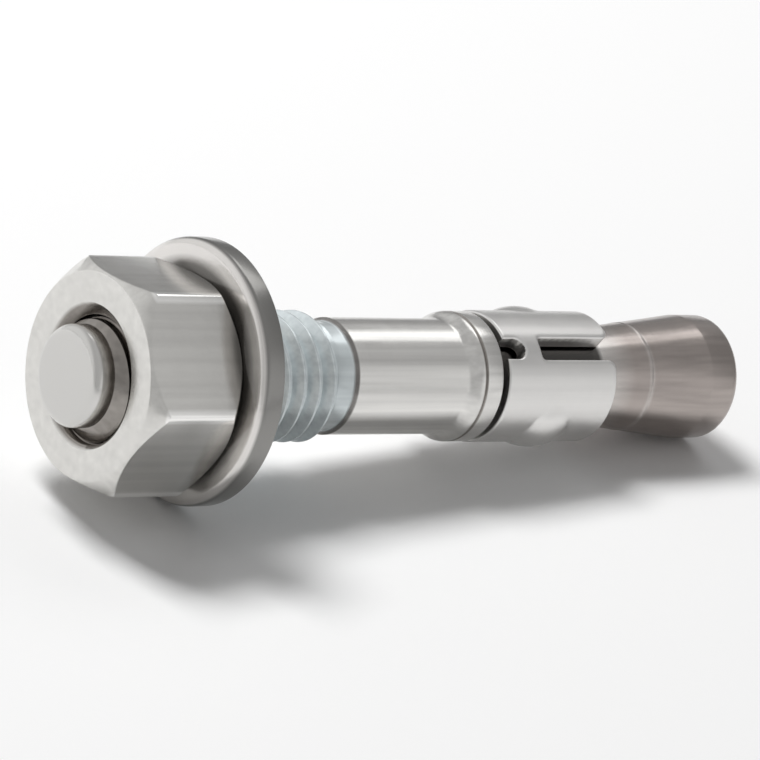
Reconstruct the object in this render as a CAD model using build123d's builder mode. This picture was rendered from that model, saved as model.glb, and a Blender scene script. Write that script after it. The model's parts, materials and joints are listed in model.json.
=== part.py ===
from build123d import *
import os
from math import asin, atan2, cos, degrees, hypot, radians, sin, tan

# A wedge anchor as it lies on a flat surface: anchor bolt, hex nut, washer and expansion sleeve.
# The bolt's tip points to -X and its wedge to +X. The anchor rests on the rims of the washer and
# of the wedge, so the bolt's axis dips towards the wedge. Sizes are in millimetres, +Z is up, and
# the origin lies on the surface, under the middle of the anchor.
# "Along" is a distance from the tip's face on the bolt's axis. "Turn" is an angle about that
# axis, in degrees, from the top towards the front (-Y).

# Tip of the bolt: a dog point, then a 45 degree lead-in to the thread
dog_diameter = 9.1
dog_length = 2.0
dog_edge_radius = 0.8

# Thread, as a cylinder over its crests, and the groove where it runs out
thread_diameter = 12.0
thread_length = 23.55
runout_diameter = 10.0
runout_length = 1.45

# Plain shank, which flares into the collar that pushes the sleeve into the hole
shank_diameter = 10.75
shank_length = 13.3
flare_length = 1.6
collar_diameter = 12.2
collar_length = 2.3
groove_width = 0.35
groove_depth = 0.22

# Neck under the sleeve, and the wedge that spreads the sleeve
neck_diameter = 8.8
neck_length = 13.1
wedge_diameter = 12.0
wedge_half_angle = 6.6
land_length = 2.85
wedge_end_radius = 0.8

# Hexagon nut
nut_across_flats = 18.8
nut_height = 10.1
nut_protrusion = 2.3  # of the tip beyond the nut
nut_turn = 20.0  # of one corner
nut_face_diameter = 18.5
nut_bearing_diameter = 18.4
nut_chamfer_angle = 45.0
nut_countersink_diameter = 13.0
nut_countersink_depth = 0.9
thread_clearance = 0.05  # radial, between the bolt's thread and the nut's bore

# Washer, loose on the thread
washer_diameter = 24.0
washer_thickness = 2.3
washer_hole_play = 1.0  # of the hole's diameter over the thread's
washer_edge_chamfer = 0.5  # round the front face; the back edge is sharp, as punched

# Expansion sleeve, rolled from strip round the neck
sleeve_wall = 1.45
sleeve_length = 13.5
sleeve_gap = 0.65  # behind the collar
sleeve_clearance = 0.35  # radial, round the neck
sleeve_turn = 35.0  # of the slot
slot_width = 2.3
slot_start = 4.3  # from the sleeve's rear end
slot_corner_radius = 0.5
slot_mouth_radius = 0.9
notch_width = 2.1
notch_depth = 2.4
seam_width = 1.0
bump_along = 6.8  # from the sleeve's rear end to the middle of the bumps
bump_height = 0.7
bump_length = 5.4  # along the bolt
bump_sweep = 74.0  # round the sleeve, in degrees

# ---- places along the bolt ----
thread_start = dog_length + (thread_diameter - dog_diameter) / 2
thread_end = thread_start + thread_length
shank_start = thread_end + runout_length
shank_chamfer = (shank_diameter - runout_diameter) / 2
flare_start = shank_start + shank_length
flare_end = flare_start + flare_length
collar_end = flare_end + collar_length
wedge_start = collar_end + neck_length
wedge_end = wedge_start + (wedge_diameter - neck_diameter) / 2 / tan(radians(wedge_half_angle))
bolt_length = wedge_end + land_length + wedge_end_radius
nut_end = nut_protrusion + nut_height
washer_end = nut_end + washer_thickness
sleeve_start = collar_end + sleeve_gap

# ---- how the anchor lies ----
washer_hole = thread_diameter + washer_hole_play

# The surface pushes the loose washer up, until the thread lies at the bottom of its hole.
washer_lift = washer_hole_play / 2 - thread_clearance

# The washer rests on the edge of its back face, and the wedge on its rounded end. These are the
# middle of that rounding, along the bolt and out from its axis, how far it lies from the washer's
# edge both ways, and the dip at which both touch the surface.
wedge_rim_along = bolt_length - wedge_end_radius
wedge_rim_radius = wedge_diameter / 2 - wedge_end_radius
rim_run = wedge_rim_along - washer_end
rim_rise = washer_diameter / 2 - washer_lift - wedge_rim_radius
dip = atan2(rim_rise, rim_run) - asin(wedge_end_radius / hypot(rim_run, rim_rise))

bolt_direction = Vector(cos(dip), 0, -sin(dip))
up = Vector(sin(dip), 0, cos(dip))
front = Vector(0, -1, 0)

tip_height = wedge_rim_along * sin(dip) + wedge_rim_radius * cos(dip) + wedge_end_radius
reach_back = (dog_diameter / 2 - dog_edge_radius) * sin(dip) + dog_edge_radius * (1 - cos(dip))
reach_ahead = wedge_rim_along * cos(dip) + wedge_rim_radius * sin(dip) + wedge_end_radius
tip_centre = Vector((reach_back - reach_ahead) / 2, 0, tip_height)

side_plane = Plane(origin=tip_centre, x_dir=bolt_direction, z_dir=front)  # x along, y up
end_plane = Plane(origin=tip_centre, x_dir=up, z_dir=bolt_direction)  # turned from x to y
bolt_axis = Axis(tip_centre, bolt_direction)


def outward(turn):
    """The direction out of the bolt's axis at this turn."""
    return up * cos(radians(turn)) + front * sin(radians(turn))


def wall_plane(along, turn):
    """A plane through the bolt's axis that faces outward: its x runs along the bolt."""
    return Plane(origin=tip_centre + bolt_direction * along, x_dir=bolt_direction, z_dir=outward(turn))


def corner(shape, x, y):
    """The corner of a sketch that lies nearest to this place."""
    return shape.vertices().sort_by_distance((x, y, 0))[0]


# ---- anchor bolt ----
dog_radius = dog_diameter / 2
thread_radius = thread_diameter / 2
runout_radius = runout_diameter / 2
shank_radius = shank_diameter / 2
collar_radius = collar_diameter / 2
neck_radius = neck_diameter / 2
wedge_radius = wedge_diameter / 2

with BuildPart() as anchor_bolt:
    with BuildSketch(side_plane) as bolt_profile:
        with BuildLine():
            tip = Polyline(
                (0, 0),
                (0, dog_radius),
                (dog_length, dog_radius),
                (thread_start, thread_radius),
                (thread_end - (thread_radius - runout_radius), thread_radius),
                (thread_end, runout_radius),
                (shank_start, runout_radius),
                (shank_start + shank_chamfer, shank_radius),
                (flare_start, shank_radius),
            )
            flare_middle = ((flare_start + flare_end) / 2, (shank_radius + collar_radius) / 2)
            hollow = TangentArc(tip @ 1, flare_middle, tangent=(1, 0))
            crown = TangentArc(flare_middle, (flare_end, collar_radius), tangent=hollow % 1)
            Polyline(
                crown @ 1,
                (flare_end + groove_width / 2, collar_radius - groove_depth),
                (flare_end + groove_width, collar_radius),
                (collar_end, collar_radius),
                (collar_end, neck_radius),
                (wedge_start, neck_radius),
                (wedge_end, wedge_radius),
                (bolt_length, wedge_radius),
                (bolt_length, 0),
                (0, 0),
            )
        make_face()
        fillet(corner(bolt_profile, 0, dog_radius), dog_edge_radius)
        fillet(corner(bolt_profile, bolt_length, wedge_radius), wedge_end_radius)
    revolve(axis=bolt_axis)

# ---- hexagon nut ----
nut_corner_radius = nut_across_flats / 2 / cos(radians(30))
nut_bore_radius = thread_radius + thread_clearance
chamfer_slope = tan(radians(nut_chamfer_angle))
face_chamfer = (nut_corner_radius - nut_face_diameter / 2) * chamfer_slope
bearing_chamfer = (nut_corner_radius - nut_bearing_diameter / 2) * chamfer_slope

with BuildPart() as hex_nut:
    with BuildSketch(end_plane.offset(nut_protrusion)):
        RegularPolygon(radius=nut_across_flats / 2, side_count=6, major_radius=False, rotation=nut_turn)
    extrude(amount=nut_height)
    with BuildSketch(side_plane):
        with BuildLine():
            Polyline(
                (nut_protrusion, 0),
                (nut_protrusion, nut_face_diameter / 2),
                (nut_protrusion + face_chamfer, nut_corner_radius),
                (nut_end - bearing_chamfer, nut_corner_radius),
                (nut_end, nut_bearing_diameter / 2),
                (nut_end, 0),
                close=True,
            )
        make_face()
    revolve(axis=bolt_axis, mode=Mode.INTERSECT)
    with BuildSketch(side_plane):
        with BuildLine():
            Polyline(
                (nut_protrusion, 0),
                (nut_protrusion, nut_countersink_diameter / 2),
                (nut_protrusion + nut_countersink_depth, nut_bore_radius),
                (nut_end - nut_countersink_depth, nut_bore_radius),
                (nut_end, nut_countersink_diameter / 2),
                (nut_end, 0),
                close=True,
            )
        make_face()
    revolve(axis=bolt_axis, mode=Mode.SUBTRACT)

# ---- washer ----
with BuildPart() as washer:
    with BuildSketch(end_plane.offset(nut_end)):
        with Locations((washer_lift, 0)):
            Circle(washer_diameter / 2)
            Circle(washer_hole / 2, mode=Mode.SUBTRACT)
    extrude(amount=washer_thickness)
    rims = washer.edges().filter_by(GeomType.CIRCLE).group_by(SortBy.RADIUS)[-1]
    chamfer(rims.sort_by(bolt_axis)[0], washer_edge_chamfer)

# ---- expansion sleeve ----
bore_radius = neck_radius + sleeve_clearance
sleeve_radius = bore_radius + sleeve_wall

# Each bump is the crown of a spheroid, whose centre lies inside the sleeve. Its radius across is
# that of the arc through the bump's crown and ends, and its radius around makes it meet the
# wall at the bump's sides.
half_sweep = radians(bump_sweep / 2)
spheroid_across = ((bump_length / 2) ** 2 + bump_height**2) / (2 * bump_height)
spheroid_centre = sleeve_radius + bump_height - spheroid_across
side_rise = (sleeve_radius * cos(half_sweep) - spheroid_centre) / spheroid_across
spheroid_around = sleeve_radius * sin(half_sweep) / (1 - side_rise**2) ** 0.5
spheroid_planes = [
    Plane(
        origin=tip_centre + bolt_direction * (sleeve_start + bump_along) + outward(turn) * spheroid_centre,
        x_dir=outward(turn + 90),
        z_dir=-bolt_direction,
    )
    for turn in (sleeve_turn + 90, sleeve_turn + 270)
]


def half_ellipse(plane, inset):
    """The outward half of a spheroid's ellipse on this plane, drawn in by the inset."""
    with BuildSketch(plane, mode=Mode.PRIVATE) as half:
        Ellipse(spheroid_around - inset, spheroid_across - inset)
        inner_half = (Align.CENTER, Align.MAX)
        Rectangle(2 * spheroid_around, spheroid_across, align=inner_half, mode=Mode.SUBTRACT)
    return half.sketch


with BuildPart() as expansion_sleeve:
    with BuildSketch(end_plane.offset(sleeve_start)):
        Circle(sleeve_radius)
    extrude(amount=sleeve_length)
    for plane in spheroid_planes:
        revolve(half_ellipse(plane, 0), axis=Axis(plane.origin, plane.x_dir))
    with BuildSketch(end_plane.offset(sleeve_start)):
        Circle(bore_radius)
    extrude(amount=sleeve_length, mode=Mode.SUBTRACT)
    for plane in spheroid_planes:
        revolve(half_ellipse(plane, sleeve_wall), axis=Axis(plane.origin, plane.x_dir), mode=Mode.SUBTRACT)
    with BuildSketch(wall_plane(sleeve_start, sleeve_turn)) as slot_outline:
        with Locations((slot_start, 0)):
            Rectangle(sleeve_length - slot_start, slot_width, align=(Align.MIN, Align.CENTER))
        fillet(slot_outline.vertices().group_by(Axis.X)[0], slot_corner_radius)
        with Locations((sleeve_length, 0)):
            Rectangle(slot_width, 3 * slot_width, align=(Align.MIN, Align.CENTER))
        mouth = [corner(slot_outline, sleeve_length, side * slot_width / 2) for side in (-1, 1)]
        fillet(mouth, slot_mouth_radius)
        with Locations((notch_depth - notch_width / 2, 0)):
            Rectangle(notch_depth, notch_width, align=(Align.MAX, Align.CENTER))
            Circle(notch_width / 2)
    extrude(amount=2 * sleeve_radius, mode=Mode.SUBTRACT)
    with BuildSketch(wall_plane(sleeve_start, sleeve_turn + 180)):
        Rectangle(sleeve_length, seam_width, align=(Align.MIN, Align.CENTER))
    extrude(amount=2 * sleeve_radius, mode=Mode.SUBTRACT)

# ---- one STEP file for each piece ----
os.makedirs("parts", exist_ok=True)

anchor_bolt.part.label = "anchor_bolt"
export_step(anchor_bolt.part, "parts/anchor_bolt.step")

hex_nut.part.label = "hex_nut"
export_step(hex_nut.part, "parts/hex_nut.step")

washer.part.label = "washer"
export_step(washer.part, "parts/washer.step")

expansion_sleeve.part.label = "expansion_sleeve"
export_step(expansion_sleeve.part, "parts/expansion_sleeve.step")

print(f"dip {degrees(dip):.3f} degrees, tip centre {tip_centre}, length {bolt_length:.3f} mm")
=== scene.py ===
import json
import math

import bmesh
import bpy
import numpy as np
from mathutils import Matrix, Vector


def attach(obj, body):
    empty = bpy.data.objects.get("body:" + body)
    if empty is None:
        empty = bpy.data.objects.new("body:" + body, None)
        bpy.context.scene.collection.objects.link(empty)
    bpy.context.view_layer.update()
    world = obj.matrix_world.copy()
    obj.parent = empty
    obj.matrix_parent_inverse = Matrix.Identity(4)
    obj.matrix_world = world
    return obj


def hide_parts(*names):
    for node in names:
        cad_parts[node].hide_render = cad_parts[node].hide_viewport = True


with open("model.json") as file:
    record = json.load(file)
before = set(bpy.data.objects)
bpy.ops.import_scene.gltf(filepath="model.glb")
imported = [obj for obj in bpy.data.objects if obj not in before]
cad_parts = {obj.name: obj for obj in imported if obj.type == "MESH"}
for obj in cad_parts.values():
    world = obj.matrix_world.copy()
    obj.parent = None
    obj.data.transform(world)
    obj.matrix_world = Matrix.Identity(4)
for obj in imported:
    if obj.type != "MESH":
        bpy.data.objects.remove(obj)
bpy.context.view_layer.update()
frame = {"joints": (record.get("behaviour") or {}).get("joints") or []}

# A wedge anchor: a threaded bolt with its nut, washer and expansion sleeve, lying on a white floor.
# Points are worked out in the bolt's own axes: x is the distance along the bolt from the tip's
# face, y points up and z to the front. piece_from carries them into the frame. Sizes are in
# millimetres. A turn is an angle about the bolt, from y towards z: in degrees in the values below,
# and in radians in the functions. A round is the radius of a rounded edge.
MM = 0.001

# Bolt
DOG_RADIUS = 4.55
DOG_LENGTH = 2.0
DOG_ROUND = 0.8
PITCH = 1.75
CREST_RADIUS = 6.0
CREST_FLAT = 0.22
CREST_ROUND = 0.08
ROOT_RADIUS = 5.0
ROOT_ROUND = 0.14
ROOT_LEAD = 0.3  # of root before each flank, where the profile of one turn starts
FLANK_ANGLE = 30.0
THREAD_END = 27.0
SHANK_START = 28.45
SHANK_RADIUS = 5.375
SHANK_FOOT_ROUND = 0.2
SHOULDER_ROUND = 0.12
FLARE_START = 41.75
FLARE_END = 43.35
COLLAR_RADIUS = 6.1
COLLAR_END = 45.65
COLLAR_ROUND = 0.22
COLLAR_FOOT_ROUND = 0.15
GROOVE_START = 43.41
GROOVE_BOTTOM = 43.525
GROOVE_END = 43.68
GROOVE_DEPTH = 0.25
GROOVE_EDGE_ROUND = 0.05
GROOVE_ROUND = 0.06
NECK_RADIUS = 4.4
NECK_ROUND = 1.0
WEDGE_START = 58.75
WEDGE_END = 72.578
WEDGE_RADIUS = 6.0
WEDGE_ROUND = 0.6
CREASE_PLACE = 65.4
CREASE_HALF = 0.12
CREASE_HEIGHT = 0.04
CREASE_RISE = 0.014  # of the wedge over half the crease's width
CREASE_ROUND = 0.05
BOLT_LENGTH = 76.228
BOLT_END_ROUND = 0.8
BOLT_SEGMENTS = 120

# Nut
NUT_FACE = 2.3
NUT_HEIGHT = 10.1
NUT_HALF_FLATS = 9.4
NUT_CORNER_TURN = 20.0
NUT_CORNER_ROUND = 0.55
NUT_FACE_RADIUS = 9.25
NUT_BEARING_RADIUS = 9.2
NUT_FACE_ROUNDS = 0.16, 0.22, 0.3  # at the hole, at the face's edge and at the sides
NUT_BEARING_ROUNDS = 0.15, 0.2, 0.3
COUNTERSINK_RADIUS = 6.5
THREAD_PLAY = 0.06
THREAD_INSET = 0.4  # from the nut's faces, where its countersinks are still wider than the thread

# Washer
WASHER_FACE = 12.4
WASHER_THICKNESS = 2.3
WASHER_RADIUS = 12.0
WASHER_HOLE_RADIUS = 6.5
WASHER_HOLE_ROUND = 0.3
WASHER_FRONT_ROUND = 0.85
WASHER_BACK_ROUND = 0.06
WASHER_LIFT = 0.45  # above the bolt's axis: the thread lies at the bottom of the hole
WASHER_SEGMENTS = 144

# Sleeve
SLEEVE_START = 46.3
SLEEVE_LENGTH = 13.5
SLEEVE_WALL = 1.45
SLEEVE_RADIUS = 6.2
SLEEVE_TURN = 35.0
SLEEVE_ROUND = 0.22
SLOT_HALF = 1.15
SLOT_START = 4.3
SLOT_CORNER = 0.5
MOUTH_ROUND = 0.9
NOTCH_HALF = 1.05
NOTCH_DEPTH = 2.4
SEAM_HALF = 0.5
BUMP_ALONG = 6.8
BUMP_HEIGHT = 0.7
BUMP_LENGTH = 5.4
BUMP_SWEEP = 74.0
BUMP_BLEND = 0.14

nut_joint = next(j for j in frame["joints"] if j["name"] == "nut_turn")
axis = Vector(nut_joint["axis"]).normalized()
front = Vector((0, -1, 0))
up = front.cross(axis).normalized()
tip = Vector(nut_joint["pos_m"]) - axis * (NUT_FACE + NUT_HEIGHT / 2) * MM
bolt_axes = Matrix.Translation(tip) @ Matrix((axis, up, front)).transposed().to_4x4()

# ---- mesh helpers ----
ARC_SHARE = 0.45  # of a profile's side, the most that the arc at one of its ends takes up
SHARP_ANGLE = 32.0  # degrees between two faces, beyond which their edge isn't smoothed
WELD = 2e-6  # metres, as is the next one
DEGENERATE = 1e-7


def rounded(corners, steps):
    """A profile from corners (along, radius, round), with steps + 1 points at each inner corner."""
    points = [np.array(corner[:2], float) for corner in corners]
    out = [points[0]]
    inner_corners = zip(points, points[1:], points[2:], corners[1:])
    for before, here, after, (_, _, corner_round) in inner_corners:
        if not corner_round:
            out.extend([here] * (steps + 1))
            continue
        back, ahead = before - here, after - here
        back_length, ahead_length = np.linalg.norm(back), np.linalg.norm(ahead)
        back, ahead = back / back_length, ahead / ahead_length
        half = math.acos(back @ ahead) / 2
        cut = min(corner_round / math.tan(half), ARC_SHARE * back_length, ARC_SHARE * ahead_length)
        inward = (back + ahead) / np.linalg.norm(back + ahead)
        centre = here + inward * cut / math.cos(half)
        start, end = here + back * cut - centre, here + ahead * cut - centre
        sweep = math.pi - 2 * half
        for t in np.linspace(0, 1, steps + 1):
            way = start * math.sin((1 - t) * sweep) + end * math.sin(t * sweep)
            out.append(centre + way / math.sin(sweep))
    out.append(points[-1])
    return np.array(out)


def round_about(along, radius, turn):
    """Points at these places along the bolt, radii and turns."""
    return np.stack(np.broadcast_arrays(along, radius * np.cos(turn), radius * np.sin(turn)), -1)


def turned(profile, turns):
    """A grid of points: a profile of (along, radius) turned about the bolt."""
    return round_about(profile[:, :1], profile[:, 1:], turns)


def grid_faces(rows, columns, first=0):
    """Quads between neighbouring rows and columns of a grid of points."""
    i, j = np.meshgrid(np.arange(rows - 1), np.arange(columns - 1), indexing="ij")
    a = first + i * columns + j
    return np.stack([a, a + columns, a + columns + 1, a + 1], -1).reshape(-1, 4)


def piece_from(name, points, faces, sharp=SHARP_ANGLE):
    """One mesh object from points in millimetres, welded where they meet."""
    mesh = bpy.data.meshes.new(name)
    placed = points * MM @ np.array(bolt_axes.to_3x3()).T + np.array(tip)
    mesh.from_pydata(placed.tolist(), [], faces.tolist())
    bm = bmesh.new()
    bm.from_mesh(mesh)
    bmesh.ops.remove_doubles(bm, verts=bm.verts, dist=WELD)
    bmesh.ops.dissolve_degenerate(bm, dist=DEGENERATE, edges=bm.edges)
    bmesh.ops.recalc_face_normals(bm, faces=bm.faces)
    bm.to_mesh(mesh)
    bm.free()
    for face in mesh.polygons:
        face.use_smooth = True
    mesh.set_sharp_from_angle(angle=math.radians(sharp))
    obj = bpy.data.objects.new(name, mesh)
    bpy.context.scene.collection.objects.link(obj)
    return obj


def piece_from_grids(name, grids):
    """One mesh object from grids of points in millimetres."""
    points, faces = [], []
    for grid in grids:
        faces.append(grid_faces(grid.shape[0], grid.shape[1], sum(len(p) for p in points)))
        points.append(grid.reshape(-1, 3))
    return piece_from(name, np.concatenate(points), np.concatenate(faces))


# ---- thread ----
flank = (CREST_RADIUS - ROOT_RADIUS) * math.tan(math.radians(FLANK_ANGLE))
thread_period = rounded(
    [
        (-ROOT_LEAD, ROOT_RADIUS, 0),
        (0, ROOT_RADIUS, ROOT_ROUND),
        (flank, CREST_RADIUS, CREST_ROUND),
        (flank + CREST_FLAT, CREST_RADIUS, CREST_ROUND),
        (2 * flank + CREST_FLAT, ROOT_RADIUS, ROOT_ROUND),
        (PITCH - ROOT_LEAD, ROOT_RADIUS, 0),
    ],
    steps=2,
)


def thread_grid(start, end, turns, limit, play=0.0):
    """Rows that follow the helix from start to end, wider by the play.

    limit(along, radius) keeps them within the cones at the thread's ends.
    """
    first = math.floor((start - PITCH) / PITCH) - 1
    count = math.ceil((end - start) / PITCH) + 4
    rows = np.concatenate([thread_period[:-1] + (PITCH * (first + k), play) for k in range(count)])
    along = np.clip(rows[:, :1] + PITCH * turns / (2 * math.pi), start, end)
    return round_about(along, limit(along, rows[:, 1:]), turns)


# ---- anchor bolt ----
def bolt_limit(along, radius):
    """The thread's radius, cut by the cones of its lead-in and its run-out."""
    lead_in = DOG_RADIUS + along - DOG_LENGTH
    run_out = ROOT_RADIUS + THREAD_END - along
    return np.minimum(radius, np.minimum(lead_in, run_out))


def flare_corner(t):
    """A point on the flare, this share of the way from the shank to the collar."""
    rise = t * t * (3 - 2 * t)
    along = FLARE_START + t * (FLARE_END - FLARE_START)
    return along, SHANK_RADIUS + rise * (COLLAR_RADIUS - SHANK_RADIUS), 0


tip_profile = rounded(
    [(0, 0, 0), (0, DOG_RADIUS, DOG_ROUND), (DOG_LENGTH, DOG_RADIUS, 0)],
    steps=6,
)
wedge_slope = (WEDGE_RADIUS - NECK_RADIUS) / (WEDGE_END - WEDGE_START)
crease_radius = NECK_RADIUS + wedge_slope * (CREASE_PLACE - WEDGE_START)
body_profile = rounded(
    [
        (THREAD_END, ROOT_RADIUS, 0),
        (SHANK_START, ROOT_RADIUS, SHANK_FOOT_ROUND),
        (SHANK_START + SHANK_RADIUS - ROOT_RADIUS, SHANK_RADIUS, SHOULDER_ROUND),
        *[flare_corner(t) for t in np.linspace(0, 1, 9)],
        (GROOVE_START, COLLAR_RADIUS, GROOVE_EDGE_ROUND),
        (GROOVE_BOTTOM, COLLAR_RADIUS - GROOVE_DEPTH, GROOVE_ROUND),
        (GROOVE_END, COLLAR_RADIUS, GROOVE_EDGE_ROUND),
        (COLLAR_END, COLLAR_RADIUS, COLLAR_ROUND),
        (COLLAR_END, NECK_RADIUS, COLLAR_FOOT_ROUND),
        (WEDGE_START, NECK_RADIUS, NECK_ROUND),
        (CREASE_PLACE - CREASE_HALF, crease_radius - CREASE_RISE, CREASE_ROUND),
        (CREASE_PLACE, crease_radius + CREASE_HEIGHT, CREASE_ROUND),
        (CREASE_PLACE + CREASE_HALF, crease_radius + CREASE_RISE, CREASE_ROUND),
        (WEDGE_END, WEDGE_RADIUS, WEDGE_ROUND),
        (BOLT_LENGTH, WEDGE_RADIUS, BOLT_END_ROUND),
        (BOLT_LENGTH, 0, 0),
    ],
    steps=4,
)
bolt_turns = np.linspace(0, 2 * math.pi, BOLT_SEGMENTS + 1)
bolt = piece_from_grids(
    "threaded_bolt",
    [
        turned(tip_profile, bolt_turns),
        thread_grid(DOG_LENGTH, THREAD_END, bolt_turns, bolt_limit),
        turned(body_profile, bolt_turns),
    ],
)

# ---- hexagon nut ----
nut_back = NUT_FACE + NUT_HEIGHT
# Degrees from a corner to the middle of a side, closer together at the corner's arc
half_side = np.array([0.5, 1, 1.5, 2, 3.5, *range(6, 31, 3)])
sector = np.radians([*-half_side[::-1], 0, *half_side[:-1]])
nut_turns = np.concatenate([sector + math.radians(NUT_CORNER_TURN + 60 * k) for k in range(6)])
nut_turns = np.append(nut_turns, nut_turns[0] + 2 * math.pi)


def hexagon(turn):
    """The distance from the axis to the nut's side, whose corners are rounded."""
    half = math.pi / 6
    off = abs((turn - math.radians(NUT_CORNER_TURN) + half) % (2 * half) - half)
    arc_foot = (NUT_HALF_FLATS - NUT_CORNER_ROUND) * math.tan(half)
    if off >= half - math.atan2(arc_foot, NUT_HALF_FLATS):
        return NUT_HALF_FLATS / math.cos(half - off)
    centre = (NUT_HALF_FLATS - NUT_CORNER_ROUND) / math.cos(half)
    return centre * math.cos(off) + math.sqrt(NUT_CORNER_ROUND**2 - (centre * math.sin(off)) ** 2)


def nut_outline(turn):
    """Points from one countersink over the nut's side to the other, at this turn."""
    side = hexagon(turn)
    hole_round, edge_round, side_round = NUT_FACE_ROUNDS
    back_hole_round, back_edge_round, back_side_round = NUT_BEARING_ROUNDS
    profile = rounded(
        [
            (NUT_FACE + THREAD_INSET, COUNTERSINK_RADIUS - THREAD_INSET, 0),
            (NUT_FACE, COUNTERSINK_RADIUS, hole_round),
            (NUT_FACE, NUT_FACE_RADIUS, edge_round),
            (NUT_FACE + side - NUT_FACE_RADIUS, side, side_round),
            (nut_back - side + NUT_BEARING_RADIUS, side, back_side_round),
            (nut_back, NUT_BEARING_RADIUS, back_edge_round),
            (nut_back, COUNTERSINK_RADIUS, back_hole_round),
            (nut_back - THREAD_INSET, COUNTERSINK_RADIUS - THREAD_INSET, 0),
        ],
        steps=3,
    )
    return round_about(profile[:, 0], profile[:, 1], turn)


def nut_limit(along, radius):
    """The thread's radius, opened by the cones of the countersinks."""
    face_cone = COUNTERSINK_RADIUS - (along - NUT_FACE)
    back_cone = COUNTERSINK_RADIUS - (nut_back - along)
    return np.maximum(radius, np.maximum(face_cone, back_cone))


thread_ends = NUT_FACE + THREAD_INSET, nut_back - THREAD_INSET
nut = piece_from_grids(
    "threaded_nut",
    [
        np.stack([nut_outline(turn) for turn in nut_turns], 1),
        thread_grid(*thread_ends, nut_turns, nut_limit, THREAD_PLAY)[::-1],
    ],
)

# ---- washer ----
washer_back = WASHER_FACE + WASHER_THICKNESS
washer_middle = WASHER_FACE + WASHER_THICKNESS / 2
washer_profile = rounded(
    [
        (washer_middle, WASHER_HOLE_RADIUS, 0),
        (WASHER_FACE, WASHER_HOLE_RADIUS, WASHER_HOLE_ROUND),
        (WASHER_FACE, WASHER_RADIUS, WASHER_FRONT_ROUND),
        (washer_back, WASHER_RADIUS, WASHER_BACK_ROUND),
        (washer_back, WASHER_HOLE_RADIUS, WASHER_HOLE_ROUND),
        (washer_middle, WASHER_HOLE_RADIUS, 0),
    ],
    steps=7,
)
washer_grid = turned(washer_profile, np.linspace(0, 2 * math.pi, WASHER_SEGMENTS + 1))
washer_grid[..., 1] += WASHER_LIFT
washer = piece_from_grids("punched_washer", [washer_grid])

# ---- expansion sleeve ----
# It is a strip, laid flat: x runs from its rear end, and across from the middle of its slot. Its
# two halves mirror each other. The crown of each bump is part of an ellipsoid, centred between
# the bump and the bolt's axis, with a radius of bump_around round the bolt and bump_across in
# the other two directions.
EDGE_SHARES = 0, 0.04, 0.14, 0.3, 0.55, 1.0  # of the edge's round, where the strip has points
STRIP_COLUMNS = 64
BRIDGE_COLUMNS = 7  # on half of the bridge between the notch and the slot
SLEEVE_SHARP_ANGLE = 38.0
QUARTER = math.pi / 2
MOUTH_STOP = 0.02  # radians that the rows of the mouth's arc stop short of the strip's end
WELD_DIGITS = 5  # of millimetres, to which points of the strip are the same
bump_half_turn = math.radians(BUMP_SWEEP / 2)
bump_across = ((BUMP_LENGTH / 2) ** 2 + BUMP_HEIGHT**2) / (2 * BUMP_HEIGHT)
bump_centre = SLEEVE_RADIUS + BUMP_HEIGHT - bump_across
bump_rise = (SLEEVE_RADIUS * math.cos(bump_half_turn) - bump_centre) / bump_across
bump_around = SLEEVE_RADIUS * math.sin(bump_half_turn) / math.sqrt(1 - bump_rise**2)
notch_centre = NOTCH_DEPTH - NOTCH_HALF
slot_corner_end = SLOT_START + SLOT_CORNER
slot_end_half = SLOT_HALF - SLOT_CORNER
mouth_start = SLEEVE_LENGTH - MOUTH_ROUND
strip_half = (math.pi - SEAM_HALF / SLEEVE_RADIUS) * SLEEVE_RADIUS


def bumped(x, turn, inset):
    """The radius of the sleeve's face at this depth, where turn is measured from the slot."""
    radius = np.full(x.shape, SLEEVE_RADIUS - inset)
    across, around = bump_across - inset, bump_around - inset
    for middle in (QUARTER, -QUARTER):
        off = turn - middle
        a = (np.cos(off) / across) ** 2 + (np.sin(off) / around) ** 2
        b = -2 * bump_centre * np.cos(off) / across**2
        c = (bump_centre**2 + (x - BUMP_ALONG) ** 2) / across**2 - 1
        root = b * b - 4 * a * c
        crown = np.where(root > 0, (-b + np.sqrt(np.maximum(root, 0))) / (2 * a), 0)
        share = np.clip(0.5 + 0.5 * (crown - radius) / BUMP_BLEND, 0, 1)
        blend = radius * (1 - share) + crown * share + BUMP_BLEND * share * (1 - share) / 2
        radius = np.where(crown > radius - BUMP_BLEND, blend, radius)
    return radius


def opening(x):
    """Half the width of the notch or the slot at x."""
    if x < notch_centre:
        return NOTCH_HALF
    if x < NOTCH_DEPTH:
        return math.sqrt(max(NOTCH_HALF**2 - (x - notch_centre) ** 2, 0))
    if x < SLOT_START:
        return 0.0
    if x < slot_corner_end:
        return slot_end_half + math.sqrt(max(SLOT_CORNER**2 - (slot_corner_end - x) ** 2, 0))
    if x < mouth_start:
        return SLOT_HALF
    return SLOT_HALF + MOUTH_ROUND - math.sqrt(max(MOUTH_ROUND**2 - (x - mouth_start) ** 2, 0))


def spread(a, b, count):
    """Places from a to b, closer together at both ends."""
    return a + (b - a) * (0.5 - 0.5 * np.cos(np.linspace(0, math.pi, count)))


def notch_arc(start, end, count):
    """Places round the notch's end, from one angle to another, of which QUARTER is its middle."""
    return notch_centre + NOTCH_HALF * np.sin(np.linspace(start, end, count))


def joined(*parts):
    return np.unique(np.concatenate(parts))


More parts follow.
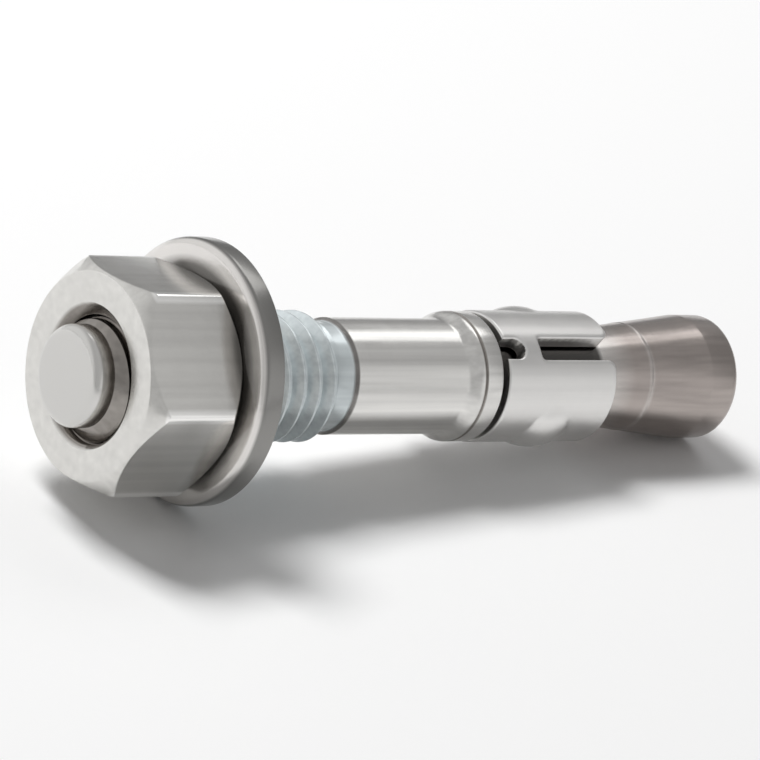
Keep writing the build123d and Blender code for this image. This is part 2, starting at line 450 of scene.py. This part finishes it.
# Rows of points lie across the strip, closer together at its edges and where its outline curves.
edge_steps = SLEEVE_ROUND * np.array(EDGE_SHARES)
join_angle = math.acos(slot_end_half / NOTCH_HALF)  # where the notch is as wide as the slot's end
rear_rows = joined(
    edge_steps,
    spread(SLEEVE_ROUND, notch_centre, 6),
    notch_arc(0, join_angle, 9),
)
bridge_rows = joined(
    notch_arc(join_angle, QUARTER, 8),
    NOTCH_DEPTH + edge_steps,
    spread(NOTCH_DEPTH + SLEEVE_ROUND, SLOT_START - SLEEVE_ROUND, 9),
    SLOT_START - edge_steps,
)
slot_rows = joined(
    SLOT_START + SLOT_CORNER * (1 - np.cos(np.linspace(0, QUARTER, 8))),
    np.linspace(slot_corner_end, mouth_start, 44),
    mouth_start + MOUTH_ROUND * np.sin(np.linspace(0, QUARTER - MOUTH_STOP, 12)),
    SLEEVE_LENGTH - edge_steps,
)
# Points close together along the edges of the notch and the slot, from which distances are taken
outline = np.array(
    [(x, opening(x)) for x in np.linspace(0, NOTCH_DEPTH, 200)]
    + [(SLOT_START, across) for across in np.linspace(0, slot_end_half, 30)]
    + [(x, opening(x)) for x in np.linspace(SLOT_START, SLEEVE_LENGTH - 1e-4, 700)]
)


def edge_fall(x, across):
    """How far the outer face falls away at the strip's rounded edges."""
    gap = np.hypot(x[..., None] - outline[:, 0], across[..., None] - outline[:, 1]).min(-1)
    gap = np.minimum.reduce([gap, x, SLEEVE_LENGTH - x, strip_half - across])
    inward = SLEEVE_ROUND - np.clip(gap, 0, SLEEVE_ROUND)
    return SLEEVE_ROUND - np.sqrt(SLEEVE_ROUND**2 - inward**2)


def no_fall(x, across):
    return 0.0


def over_strip(width):
    """Places over this width, closer together at its rounded edges."""
    middle = np.linspace(SLEEVE_ROUND, width - SLEEVE_ROUND, STRIP_COLUMNS)[1:-1]
    return np.concatenate([edge_steps, middle, width - edge_steps[::-1]])


def over_bridge(width):
    return np.linspace(0, width, BRIDGE_COLUMNS)


def block(rows, low, high, places):
    """x and across over one block of the strip, whose rows run from low(x) to high."""
    starts = [min(low(x), high) for x in rows]
    across = np.array([start + places(high - start) for start in starts])
    return np.broadcast_to(rows[:, None], across.shape), across


blocks = [
    block(rear_rows, opening, strip_half, over_strip),
    block(bridge_rows, lambda x: slot_end_half, strip_half, over_strip),
    block(bridge_rows, opening, slot_end_half, over_bridge),
    block(slot_rows, opening, strip_half, over_strip),
]


def strip_points(inset, fall):
    """Points on both halves of the sleeve's face at this depth, less fall(x, across)."""
    points = []
    for side in (1, -1):
        for x, across in blocks:
            turn = side * across / SLEEVE_RADIUS
            radius = bumped(x, turn, inset) - fall(x, across)
            placed = round_about(x + SLEEVE_START, radius, turn + math.radians(SLEEVE_TURN))
            points.append(placed.reshape(-1, 3))
    return np.concatenate(points)


def strip_faces():
    """Quads between the points of both halves, all facing the same way."""
    faces, first = [], 0
    for side in (1, -1):
        for x, _ in blocks:
            faces.append(grid_faces(*x.shape, first)[:, ::side])
            first += x.size
    return np.concatenate(faces)


rounded_points = np.round(strip_points(0, edge_fall), WELD_DIGITS)
outer, weld = np.unique(rounded_points, axis=0, return_inverse=True)
inner = np.zeros_like(outer)
inner[weld.ravel()] = strip_points(SLEEVE_WALL, no_fall)
outer_faces = weld.ravel()[strip_faces()]

# Walls join the two faces along each edge that only one quad of the outer face uses.
uses = {}
for face in outer_faces:
    ring = [v for k, v in enumerate(face) if v != face[k - 1]]
    if len(ring) < 3:
        continue
    for k, v in enumerate(ring):
        uses.setdefault((min(v, ring[k - 1]), max(v, ring[k - 1])), []).append((ring[k - 1], v))
count = len(outer)
walls = [(a, a + count, b + count, b) for use in uses.values() if len(use) == 1 for a, b in use]
sleeve = piece_from(
    "rolled_sleeve",
    np.concatenate([outer, inner]),
    np.concatenate([outer_faces, outer_faces[:, ::-1] + count, np.array(walls)]),
    SLEEVE_SHARP_ANGLE,
)


# ---- node helpers ----
# Each works on a material's or the world's tree of nodes. What goes in is an output or a value.
def plug(tree, socket, value):
    """Links an output to a socket, or gives it a value."""
    if isinstance(value, bpy.types.NodeSocket):
        tree.links.new(value, socket)
    else:
        socket.default_value = value


def add(tree, kind, output, inputs, **settings):
    """One output of a new node. inputs holds what goes in, by each socket's name or number."""
    node = tree.nodes.new("ShaderNode" + kind)
    for setting, value in settings.items():
        setattr(node, setting, value)
    for key, value in inputs.items():
        plug(tree, node.inputs[key], value)
    return node.outputs[output]


def calc(tree, operation, *values):
    return add(tree, "Math", "Value", dict(enumerate(values)), operation=operation)


def vector_calc(tree, output, operation, *values):
    return add(tree, "VectorMath", output, dict(enumerate(values)), operation=operation)


def ramp(tree, value, start, end, low=0.0, high=1.0, **settings):
    """low where the value is at start or before it, and high where it is at end or beyond."""
    inputs = {"Value": value, "From Min": start, "From Max": end, "To Min": low, "To Max": high}
    return add(tree, "MapRange", "Result", inputs, **settings)


def between(tree, value, low, high, soft):
    """1 where a value in metres lies between two places in millimetres, and 0 elsewhere."""
    rise = ramp(tree, value, (low - soft) * MM, (low + soft) * MM)
    fall = ramp(tree, value, (high + soft) * MM, (high - soft) * MM)
    return calc(tree, "MULTIPLY", rise, fall)


def mixed(tree, factor, first, second):
    """A colour: the first where the factor is 0, and the second where it is 1."""
    first, second = (c if isinstance(c, bpy.types.NodeSocket) else (*c, 1) for c in (first, second))
    return add(tree, "Mix", "Result", {"Factor": factor, "A": first, "B": second}, data_type="RGBA")


def noise(tree, vector, scale, detail, roughness=0.5):
    inputs = {"Vector": vector, "Scale": scale, "Detail": detail, "Roughness": roughness}
    return add(tree, "TexNoise", "Fac", inputs)


def scaled(tree, vector, scale):
    return add(tree, "Mapping", "Vector", {"Vector": vector, "Scale": scale})


def bolt_coordinates(tree):
    """Coordinates in the bolt's own axes, in metres."""
    coord = add(tree, "TexCoord", "Object", {})
    inputs = {"Vector": coord, "Location": tip, "Rotation": bolt_axes.to_euler("XYZ")}
    return add(tree, "Mapping", "Vector", inputs, vector_type="TEXTURE")


def place_along(tree, coord):
    """The distance along the bolt."""
    return add(tree, "SeparateXYZ", "X", {"Vector": coord})


def place_out(tree, coord, lift=0.0):
    """The distance from the bolt's axis, or from a line that far above it."""
    across = vector_calc(tree, "Vector", "MULTIPLY_ADD", coord, (0, 1, 1), (0, -lift * MM, 0))
    return vector_calc(tree, "Value", "LENGTH", across)


# ---- steel ----
FAR = 99.0  # beyond every piece
MOTTLE = 0.06  # of the colour, lighter and darker
CLOUD_SCALE = 260.0  # per metre, as are the next two
SPECK_SCALE = 2600.0
STREAK_SCALE = 22, 1100, 1100
SPECK_SHARE = 0.2  # of the marks' height
MARK_DEPTH = 0.00006  # metres
SMOOTHER, ROUGHER = 0.03, 0.04  # how far the roughness varies, either way

# Oil and painted shade: a dark colour for the bolt's thread under the nut and washer, its groove,
# the nut's countersinks and thread, and the washer's hole.
OIL_AND_SHADE_COLOUR = 0.30, 0.28, 0.26
# A painted highlight along the nut's corners.
CORNER_HIGHLIGHT_COLOUR = 0.92, 0.91, 0.89
# Painted shade on the nut's sides next to the washer.
BACK_SHADE_COLOUR = 0.42, 0.41, 0.395
BACK_SHADE_WIDTH = 1.6  # of the nut's sides next to the washer
CORNER_REACH = 10.5  # beyond which the nut's corners get a painted highlight; they reach 10.77
# Painted shade on the washer's rim.
RIM_SHADE_COLOUR = 0.275, 0.27, 0.26
# Painted shade in a ring on the washer's face around the nut.
RING_SHADE_COLOUR = 0.26, 0.252, 0.242
RING_SHADE_RADIUS = 10.1  # to which the washer's face is painted dark around the nut, as painted shade
COAT_COLOUR = 0.68, 0.735, 0.75
COAT_METALLIC = 0.55
DOG_COLOUR = 0.60, 0.592, 0.575
# Painted shade in a line at the shank's shoulder.
SHOULDER_SHADE_COLOUR = 0.24, 0.23, 0.22
# Painted shade on the neck under the sleeve.
UNDER_SLEEVE_SHADE = 0.10, 0.095, 0.09
WEDGE_COLOUR = 0.385, 0.343, 0.322
WEDGE_COLOUR_START = 60.5
CREASE_COLOUR = 0.60, 0.57, 0.55

# Bands along the bolt, each over the ones before it: from, to, softness and colour
BOLT_BANDS = (
    (-FAR, 0.4, 0.4, DOG_COLOUR),
    # painted shade at the shank's shoulder
    (SHANK_START + 0.08, SHANK_START + 0.42, 0.08, SHOULDER_SHADE_COLOUR),
    (WEDGE_COLOUR_START, FAR, 3.0, WEDGE_COLOUR),
    # oil and painted shade on the thread under the nut and washer
    (1.0, washer_back, 0.5, OIL_AND_SHADE_COLOUR),
    # painted shade on the neck under the sleeve
    (COLLAR_END, SLEEVE_START + SLEEVE_LENGTH - 0.2, 0.25, UNDER_SLEEVE_SHADE),
    # painted shade in the collar's groove
    (GROOVE_START - 0.08, GROOVE_END + 0.04, 0.06, OIL_AND_SHADE_COLOUR),
    (CREASE_PLACE - 0.1, CREASE_PLACE + 0.1, 0.3, CREASE_COLOUR),
)


# Each tint takes a colour, and returns it with the piece's own marks and how metallic it is.
def untinted(tree, coord, colour):
    return colour, 1.0


def bolt_tint(tree, coord, colour):
    """A pale blue-grey coat on the thread's inner end, and the bands, several of which are painted
    shade.
    """
    x = place_along(tree, coord)
    coat = between(tree, x, washer_back, SHANK_START + 0.2, soft=0.15)
    colour = mixed(tree, coat, colour, COAT_COLOUR)
    for low, high, soft, band_colour in BOLT_BANDS:
        colour = mixed(tree, between(tree, x, low, high, soft), colour, band_colour)
    return colour, ramp(tree, coat, 0.0, 1.0, 1.0, COAT_METALLIC)


def nut_tint(tree, coord, colour):
    """Painted shade at the back next to the washer, a painted highlight on the corners, and oil and
    painted shade in countersinks and thread.
    """
    # painted shade next to the washer
    back_shade = between(tree, place_along(tree, coord), nut_back - BACK_SHADE_WIDTH, FAR, soft=0.8)
    corners = 0.0
    # a painted highlight on the nut's corners
    for turn in np.radians([NUT_CORNER_TURN, NUT_CORNER_TURN + 60, NUT_CORNER_TURN + 120]):
        way = (0, math.cos(turn), math.sin(turn))
        reach = calc(tree, "ABSOLUTE", vector_calc(tree, "Value", "DOT_PRODUCT", coord, way))
        corners = calc(tree, "MAXIMUM", corners, between(tree, reach, CORNER_REACH, FAR, soft=0.08))
    inside = between(tree, place_out(tree, coord), -FAR, COUNTERSINK_RADIUS - 0.15, soft=0.12)
    colour = mixed(tree, back_shade, colour, BACK_SHADE_COLOUR)
    colour = mixed(tree, corners, colour, CORNER_HIGHLIGHT_COLOUR)
    return mixed(tree, inside, colour, OIL_AND_SHADE_COLOUR), 1.0


def washer_tint(tree, coord, colour):
    """Painted shade: a dark ring on the face around the nut and a dark rim; and oil and painted
    shade in the hole.
    """
    out = place_out(tree, coord, WASHER_LIFT)
    facing = between(tree, place_along(tree, coord), -FAR, WASHER_FACE + 1.0, soft=0.3)
    # painted shade around the nut
    ring_shade = calc(tree, "MULTIPLY", between(tree, out, -FAR, RING_SHADE_RADIUS, soft=0.45), facing)
    # painted shade on the rim
    rim = between(tree, out, WASHER_RADIUS - 0.16, FAR, soft=0.08)
    hole = between(tree, out, -FAR, WASHER_HOLE_RADIUS + 0.12, soft=0.1)
    colour = mixed(tree, ring_shade, colour, RING_SHADE_COLOUR)
    colour = mixed(tree, rim, colour, RIM_SHADE_COLOUR)
    return mixed(tree, hole, colour, OIL_AND_SHADE_COLOUR), 1.0


def streaked(tree, coord, colour, streak):
    """The colour, lighter or darker by up to this share, in streaks along the piece's sides."""
    streaks = noise(tree, scaled(tree, coord, STREAK_SCALE), scale=1.0, detail=2.0)
    depth = ramp(tree, streaks, 0.25, 0.75, 1.0 - streak, 1.0 + streak)
    sides = between(tree, place_along(tree, coord), 0.9, BOLT_LENGTH - 0.8, soft=0.2)
    kept = add(tree, "Mix", "Result", {"Factor": sides, "A": 1.0, "B": depth})
    return add(tree, "VectorMath", "Vector", {0: colour, "Scale": kept}, operation="SCALE")


def marked(tree, coord, grain, bump):
    """The normal, with fine marks and finer specks.

    The marks run round the bolt, because they are worked out at the distance along it plus the
    distance from its axis.
    """
    outward = add(tree, "CombineXYZ", "Vector", {"X": place_out(tree, coord)})
    swept = vector_calc(tree, "Vector", "ADD", coord, outward)
    marks = noise(tree, scaled(tree, swept, grain), scale=1.0, detail=2.0, roughness=0.6)
    specks = noise(tree, coord, SPECK_SCALE, detail=1.5)
    height = calc(tree, "MULTIPLY_ADD", specks, SPECK_SHARE, marks)
    return add(tree, "Bump", "Normal", {"Strength": bump, "Distance": MARK_DEPTH, "Height": height})


def steel(name, colour, roughness, grain, bump=0.12, streak=0.0, tint=untinted):
    """Satin steel. grain is the scale of its marks along and across the bolt, per metre."""
    mat = bpy.data.materials.new(name)
    mat.use_nodes = True
    tree = mat.node_tree
    shader = tree.nodes["Principled BSDF"].inputs
    coord = bolt_coordinates(tree)
    clouds = noise(tree, coord, CLOUD_SCALE, detail=5.0, roughness=0.62)
    darker = [c * (1 - MOTTLE) for c in colour]
    lighter = [min(c * (1 + MOTTLE), 1) for c in colour]
    colour, metallic = tint(tree, coord, mixed(tree, clouds, darker, lighter))
    if streak:
        colour = streaked(tree, coord, colour, streak)
    rough = ramp(tree, clouds, 0.3, 0.7, roughness - SMOOTHER, roughness + ROUGHER)
    plug(tree, shader["Base Color"], colour)
    plug(tree, shader["Metallic"], metallic)
    plug(tree, shader["Roughness"], rough)
    plug(tree, shader["Normal"], marked(tree, coord, grain, bump))
    return mat


bolt_steel = steel(
    "turned_steel", (0.70, 0.69, 0.67), 0.22, grain=(5200, 90, 90), streak=0.16, tint=bolt_tint
)
nut_steel = steel(
    "nut_satin", (0.68, 0.67, 0.645), 0.20, grain=(900, 900, 900), streak=0.07, tint=nut_tint
)
washer_steel = steel(
    "washer_satin", (0.73, 0.708, 0.685), 0.22, grain=(1400, 1400, 1400), tint=washer_tint
)
sleeve_steel = steel(
    "sleeve_satin", (0.74, 0.73, 0.715), 0.31, grain=(1800, 500, 500), bump=0.08, streak=0.05
)

for piece, material, body, node, slot in (
    (bolt, bolt_steel, "bolt", "anchor_bolt", "bolt_steel"),
    (nut, nut_steel, "nut", "hex_nut", "nut_steel"),
    (washer, washer_steel, "washer", "washer", "washer_steel"),
    (sleeve, sleeve_steel, "sleeve", "expansion_sleeve", "sleeve_steel"),
):
    piece.data.materials.append(material)
    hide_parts(node)
    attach(piece, body)

# ---- floor ----
FLOOR_SIZE = 8  # metres, as is its drop below the anchor
FLOOR_DROP = 0.00003
FLOOR_GREY = 0.6, 0.6, 0.6
WHITE = 1.0, 1.0, 1.0
bpy.ops.mesh.primitive_plane_add(size=FLOOR_SIZE, location=(0, 0, -FLOOR_DROP))
floor = bpy.context.object
floor.name = "floor"
floor_mat = bpy.data.materials.new("pale_floor")
floor_mat.use_nodes = True
floor_tree = floor_mat.node_tree
floor_shader = floor_tree.nodes["Principled BSDF"].inputs
floor_shader["Roughness"].default_value = 0.9
floor_shader["Specular IOR Level"].default_value = 0.0
# It is white to the camera and to the metal, and grey to light that bounces off it diffusely.
rays = floor_tree.nodes.new("ShaderNodeLightPath").outputs
seen = calc(floor_tree, "MAXIMUM", rays["Is Camera Ray"], rays["Is Glossy Ray"])
seen = calc(floor_tree, "MAXIMUM", seen, rays["Is Transmission Ray"])
plug(floor_tree, floor_shader["Base Color"], mixed(floor_tree, seen, FLOOR_GREY, WHITE))
floor.data.materials.append(floor_mat)


# ---- light ----
def way_to(azimuth, elevation):
    """A direction: azimuth in degrees from +X towards +Y, and elevation above the floor."""
    a, e = math.radians(azimuth), math.radians(elevation)
    return Vector((math.cos(e) * math.cos(a), math.cos(e) * math.sin(a), math.sin(e)))


# The studio's walls: an even grey, with broad lighter and darker parts. Each part has an azimuth,
# an elevation, the angles from there at which it is full and gone, and what it adds.
WALL = 0.54
WALL_PARTS = (
    (130, 5, 25, 65, 0.36),
    (-62, 0, 12, 45, 0.32),
    (58, 0, 10, 32, -0.20),
    (0, 16, 14, 42, -0.16),
)
DIFFUSE_SHARE = 0.4  # of the walls' light that reaches anything by a diffuse bounce
world = bpy.data.worlds.new("studio")
bpy.context.scene.world = world
world.use_nodes = True
sky = world.node_tree
sky_way = add(sky, "TexCoord", "Generated", {})
walls_light = WALL
for azimuth, elevation, full, gone, amount in WALL_PARTS:
    facing = vector_calc(sky, "Value", "DOT_PRODUCT", sky_way, way_to(azimuth, elevation))
    gone_at, full_at = math.cos(math.radians(gone)), math.cos(math.radians(full))
    part = ramp(sky, facing, gone_at, full_at, 0.0, amount, interpolation_type="SMOOTHSTEP")
    walls_light = calc(sky, "ADD", walls_light, part)
share = ramp(sky, add(sky, "LightPath", "Is Diffuse Ray", {}), 0.0, 1.0, 1.0, DIFFUSE_SHARE)
backdrop = sky.nodes["Background"].inputs
backdrop["Color"].default_value = (*WHITE, 1)
plug(sky, backdrop["Strength"], calc(sky, "MULTIPLY", walls_light, share))

LIT_ALONG = 40.0  # the place along the bolt that the lamps face


def softbox(name, way, distance, width, height, radiance):
    """A rectangular lamp that faces the anchor from this direction, with its sizes in metres."""
    lamp = bpy.data.lights.new(name, "AREA")
    lamp.shape = "RECTANGLE"
    lamp.size, lamp.size_y = width, height
    lamp.energy = radiance * width * height * math.pi
    obj = bpy.data.objects.new(name, lamp)
    bpy.context.scene.collection.objects.link(obj)
    obj.location = tip + axis * LIT_ALONG * MM + way * distance
    obj.rotation_mode = "QUATERNION"
    obj.rotation_quaternion = way.to_track_quat("Z", "Y")
    return obj


softbox("key", way_to(38, 52), distance=0.8, width=0.44, height=0.40, radiance=1.25)
top = softbox("top", way_to(115, 60), distance=0.9, width=0.30, height=0.30, radiance=21.5)
top.visible_glossy = False  # it lights the floor and casts the shadow, with no glare on the metal

# ---- camera ----
OUT_OF_PLANE = math.radians(40)  # from the image plane to the bolt
VIEW_TURN = math.radians(60)
IMAGE_PIXELS = 760
FOCAL_PIXELS = 4420.0
ABOVE_MIDDLE = 4.0  # pixels
LOOK_ALONG = 35.70
DISTANCE = 0.407  # metres
SENSOR_WIDTH = 36.0
sideways = up * math.cos(VIEW_TURN) + front * math.sin(VIEW_TURN)
image_up = up * math.sin(VIEW_TURN) - front * math.cos(VIEW_TURN)
image_right = axis * math.cos(OUT_OF_PLANE) + sideways * math.sin(OUT_OF_PLANE)
view_way = axis * math.sin(OUT_OF_PLANE) - sideways * math.cos(OUT_OF_PLANE)
lens = bpy.data.cameras.new("camera")
lens.sensor_width = SENSOR_WIDTH
lens.lens = FOCAL_PIXELS * SENSOR_WIDTH / IMAGE_PIXELS
lens.clip_start, lens.clip_end = 0.02, 30.0
camera = bpy.data.objects.new("camera", lens)
bpy.context.scene.collection.objects.link(camera)
look_at = tip + axis * LOOK_ALONG * MM - image_up * (ABOVE_MIDDLE * DISTANCE / FOCAL_PIXELS)
camera_axes = Matrix((image_right, image_up, -view_way)).transposed().to_4x4()
camera.matrix_world = Matrix.Translation(look_at - view_way * DISTANCE) @ camera_axes
bpy.context.scene.camera = camera
bpy.context.scene.view_settings.view_transform = "Standard"
